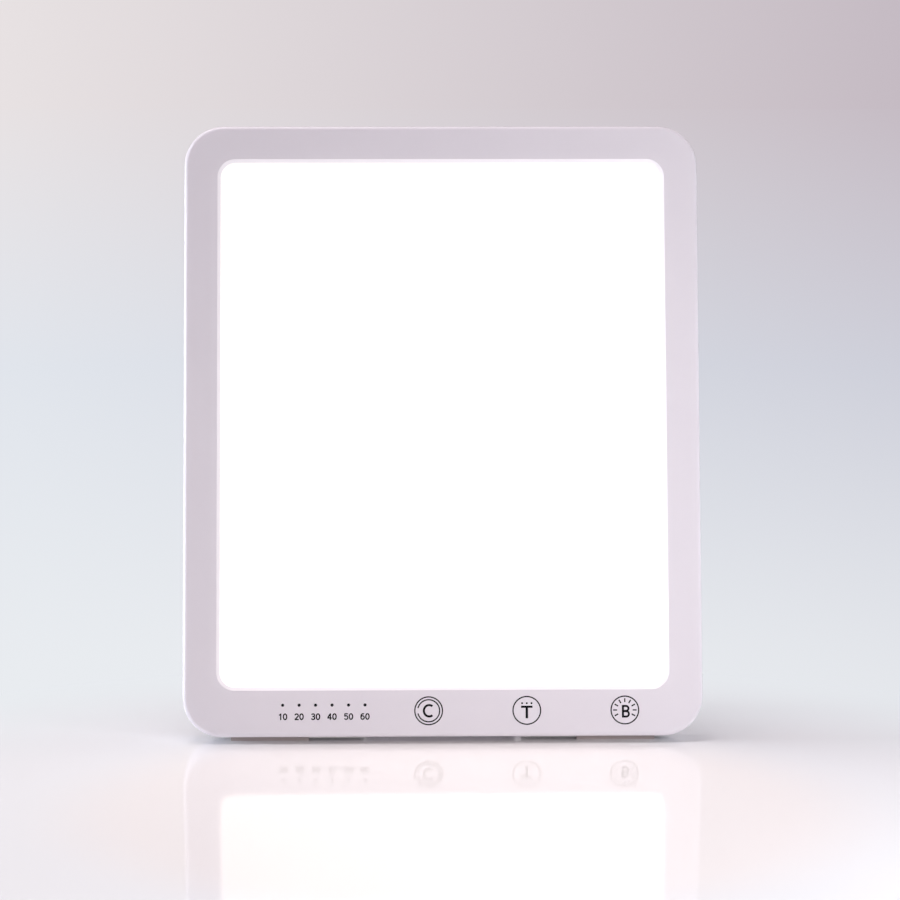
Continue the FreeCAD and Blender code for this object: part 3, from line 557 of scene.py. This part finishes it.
def addKeys(facts):
    keyC, keyT, keyB = [printPlace(x + facts["shift"] * mm, facts["up"]) for x in rowAlong(facts)]
    line = facts["ringLine"]
    outer = (facts["ring"] - line) / 2
    inner = (facts["innerRing"] - line) / 2
    gap = facts["innerGap"]
    wholeRing = [(bend(0, 0, outer, outer, 0, 360, ink["ringSteps"]), line)]
    brokenRing = [(bend(0, 0, inner, inner, gap - 180, 180 - gap, ink["ringSteps"]), line)]
    addPrint("key_prints", [
        printMesh(wholeRing + brokenRing + moved(letterC(), facts["placeC"]), keyC),
        printMesh(wholeRing + moved(letterT(), facts["placeT"]), keyT),
        printMesh(wholeRing + moved(letterB(), facts["placeB"]), keyB),
    ])
    rayMesh = treeMesh(rayTree(), {
        "Count": rays["count"], "Start": math.radians(rays["first"]),
        "Sweep": math.radians(rays["sweep"]), "Radius": (rays["inner"] + rays["outer"]) / 2,
        "Bar": (rays["outer"] - rays["inner"], rays["wide"], ink["thick"])}, keyB)
    addPrint("brightness_rays", [rayMesh])
    dotMesh = treeMesh(dotTree(), {
        "Count": dots["count"], "Pitch": (dots["pitch"], 0, 0),
        "First": (-dots["pitch"] * (dots["count"] - 1) / 2, dots["above"], 0),
        "Radius": dots["across"] / 2, "Sides": dots["sides"], "Thick": ink["thick"]}, keyT)
    addPrint("timer_key_dots", [dotMesh])


def addNumbers(facts):
    half = facts["step"] / 2
    meshes = []
    for i, x in enumerate(rowAlong(facts)):
        lines = moved(figure(str(i + 1)), (-half, 0)) + moved(figure("0"), (half, 0))
        meshes.append(printMesh(lines, printPlace(x, facts["up"])))
    addPrint("timer_numbers", meshes)


addKeys(touchKeys)
addNumbers(timerNumbers)
print("printed controls placed")


# the floor and the backdrop, in metres
studio = {
    "floorHalf": 60.0,
    "floorColour": "#F6FBFD",
    "floorRoughness": 0.057,
    # painted light: a warm pool of the screen's light in the table's colour, from this point out to these
    # distances
    "paintedLightColour": "#FAF8F6", "paintedLightMiddle": (0.005, -0.17, 0.0), "paintedLightFrom": 0.13, "paintedLightTo": 0.19,
    # the backdrop's shade from far to near with the stops between them, the distance at which it is
    # half way, and a painted shade: how much of each colour is left at the right, where less light falls
    "farShade": "#E8E2E3", "midShade": "#E1E5EC", "nearShade": "#E9ECF0", "midStop": 0.42, "nearStop": 0.85,
    "halfway": 1.4,
    "sideFrom": -0.13, "sideTo": 0.17, "paintedRightShade": (0.69, 0.65, 0.71),
    # the lit floor gives way to the backdrop around this point, beyond these distances
    "fadeMiddle": (0.0, -0.22, 0.0), "fadeFrom": 0.22, "fadeTo": 0.37,
    "ambient": "#FFEFF4", "ambientStrength": 0.2,
}
# places and sizes in metres, spread in degrees
lamps = {
    "overhead": {"place": (-0.25, 0.08, 1.6), "aim": (0.0, 0.0, 0.1), "size": 0.9, "watts": 14.8,
                 "colour": "#FFF5F9"},
    "sideLeft": {"place": (-1.8, 0.0, 0.26), "aim": (0.0, 0.0, 0.12), "size": 0.35, "watts": 2.9,
                 "colour": "#F4F8FF", "spread": 60.0},
    "sideRight": {"place": (1.8, 0.1, 0.25), "aim": (0.0, 0.0, 0.12), "size": 0.35, "watts": 0.3,
                  "colour": "#F0F4FF", "spread": 60.0},
    "keyRight": {"place": (0.42, -0.42, 0.16), "aim": (0.0, -0.03, 0.14), "size": 0.16, "watts": 1.4,
                 "colour": "#FAFAFB", "mirrored": False},
    "lowFront": {"place": (-0.1, -0.55, 0.06), "aim": (0.0, -0.04, 0.05), "size": 0.1, "watts": 0.24,
                 "colour": "#FFFAFC", "mirrored": False},
}


def backdropShade(tree, near, side):
    # near runs from 0 at the horizon to 1 at the lamp, side from left to right
    ramp = addNode(tree, "ShaderNodeValToRGB", {"Fac": near})
    stops = ramp.color_ramp.elements
    stops[0].color = linear(studio["farShade"])
    stops[1].position = studio["nearStop"]
    stops[1].color = linear(studio["nearShade"])
    stops.new(studio["midStop"]).color = linear(studio["midShade"])
    # painted shade: far out and towards the right the backdrop's colour darkens, where less light falls
    shaded = addNode(tree, "ShaderNodeVectorMath", {0: ramp.outputs["Color"], 1: studio["paintedRightShade"]},
                     operation="MULTIPLY")
    right = addNode(tree, "ShaderNodeMapRange", {0: side, 1: studio["sideFrom"], 2: studio["sideTo"]})
    far = addNode(tree, "ShaderNodeMath", {0: 1.0, 1: near}, operation="SUBTRACT")
    fall = addNode(tree, "ShaderNodeMath", {0: right.outputs[0], 1: far.outputs[0]},
                   operation="MULTIPLY")
    shade = addNode(tree, "ShaderNodeMix", {0: fall.outputs[0], 6: ramp.outputs["Color"],
                                            7: shaded.outputs[0]}, data_type="RGBA")
    return shade.outputs[2]


def addFloor(facts):
    half = facts["floorHalf"]
    data = bpy.data.meshes.new("floor")
    data.from_pydata([(-half, -half, 0), (half, -half, 0), (half, half, 0), (-half, half, 0)], [],
                     [(0, 1, 2, 3)])
    floor = bpy.data.objects.new("floor", data)
    scene.collection.objects.link(floor)
    # lacquered table top: smooth and pale, so it mirrors what stands on it, with a painted pool of the
    # screen's warm light
    material, tree, shader = newMaterial("lacqueredTop")
    shader.inputs["Roughness"].default_value = facts["floorRoughness"]
    where = addNode(tree, "ShaderNodeTexCoord").outputs["Object"]
    # painted light: the table's colour turns warmer near the screen, standing in for the screen's light on
    # it
    fromScreen = addNode(tree, "ShaderNodeVectorMath", {0: where, 1: facts["paintedLightMiddle"]},
                         operation="DISTANCE").outputs["Value"]
    paintedGlowShare = addNode(tree, "ShaderNodeMapRange", {
        0: fromScreen, 1: facts["paintedLightFrom"], 2: facts["paintedLightTo"], 3: 1.0, 4: 0.0},
        interpolation_type="SMOOTHSTEP")
    tone = addNode(tree, "ShaderNodeMix", {0: paintedGlowShare.outputs[0], 6: linear(facts["floorColour"]),
                                           7: linear(facts["paintedLightColour"])}, data_type="RGBA")
    tree.links.new(tone.outputs[2], shader.inputs["Base Color"])
    reach = addNode(tree, "ShaderNodeVectorMath", {0: where}, operation="LENGTH").outputs["Value"]
    fromMiddle = addNode(tree, "ShaderNodeVectorMath", {0: where, 1: facts["fadeMiddle"]},
                         operation="DISTANCE").outputs["Value"]
    fade = addNode(tree, "ShaderNodeMapRange", {
        0: fromMiddle, 1: facts["fadeFrom"], 2: facts["fadeTo"]}, interpolation_type="SMOOTHSTEP")
    seen = addNode(tree, "ShaderNodeLightPath").outputs["Is Camera Ray"]
    blend = addNode(tree, "ShaderNodeMath", {0: fade.outputs[0], 1: seen}, operation="MULTIPLY")
    out = addNode(tree, "ShaderNodeMath", {0: reach, 1: facts["halfway"]}, operation="ADD")
    near = addNode(tree, "ShaderNodeMath", {0: facts["halfway"], 1: out.outputs[0]},
                   operation="DIVIDE")
    axes = addNode(tree, "ShaderNodeSeparateXYZ", {0: where})
    side = addNode(tree, "ShaderNodeMath", {0: axes.outputs["X"], 1: out.outputs[0]},
                   operation="DIVIDE")
    shade = backdropShade(tree, near.outputs[0], side.outputs[0])
    glow = addNode(tree, "ShaderNodeEmission", {"Color": shade})
    mixed = addNode(tree, "ShaderNodeMixShader", {0: blend.outputs[0], 1: shader.outputs[0],
                                                  2: glow.outputs[0]})
    tree.links.new(mixed.outputs[0], nodeOf(tree, "OUTPUT_MATERIAL").inputs["Surface"])
    data.materials.append(material)


def addWorld(facts):
    world = bpy.data.worlds.new("studio")
    scene.world = world
    world.use_nodes = True
    tree = world.node_tree
    tree.nodes.clear()
    ambient = addNode(tree, "ShaderNodeBackground", {"Color": linear(facts["ambient"]),
                                                     "Strength": facts["ambientStrength"]})
    way = addNode(tree, "ShaderNodeTexCoord").outputs["Generated"]
    axes = addNode(tree, "ShaderNodeSeparateXYZ", {0: way})
    shade = backdropShade(tree, 0.0, axes.outputs["X"])
    shown = addNode(tree, "ShaderNodeBackground", {"Color": shade})
    path = addNode(tree, "ShaderNodeLightPath").outputs
    direct = addNode(tree, "ShaderNodeMath", {0: path["Is Camera Ray"], 1: path["Is Glossy Ray"]},
                     operation="MAXIMUM")
    either = addNode(tree, "ShaderNodeMath", {0: direct.outputs[0], 1: path["Is Transmission Ray"]},
                     operation="MAXIMUM")
    mixed = addNode(tree, "ShaderNodeMixShader", {0: either.outputs[0], 1: ambient.outputs[0],
                                                  2: shown.outputs[0]})
    addNode(tree, "ShaderNodeOutputWorld", {"Surface": mixed.outputs[0]})


def addLamp(name, facts):
    data = bpy.data.lights.new(name, "AREA")
    data.size = facts["size"]
    data.energy = facts["watts"]
    data.color = linear(facts["colour"])[:3]
    data.spread = math.radians(facts.get("spread", 180.0))
    lamp = bpy.data.objects.new(name, data)
    scene.collection.objects.link(lamp)
    # the lamps themselves stay out of sight, and the two nearest ones out of reflections too
    lamp.visible_camera = False
    lamp.visible_glossy = facts.get("mirrored", True)
    lamp.location = facts["place"]
    aim = Vector(facts["aim"]) - Vector(facts["place"])
    lamp.rotation_euler = aim.to_track_quat("-Z", "Y").to_euler()


addFloor(studio)
addWorld(studio)
for lampName, lampFacts in lamps.items():
    addLamp(lampName, lampFacts)
print("floor and lights placed")
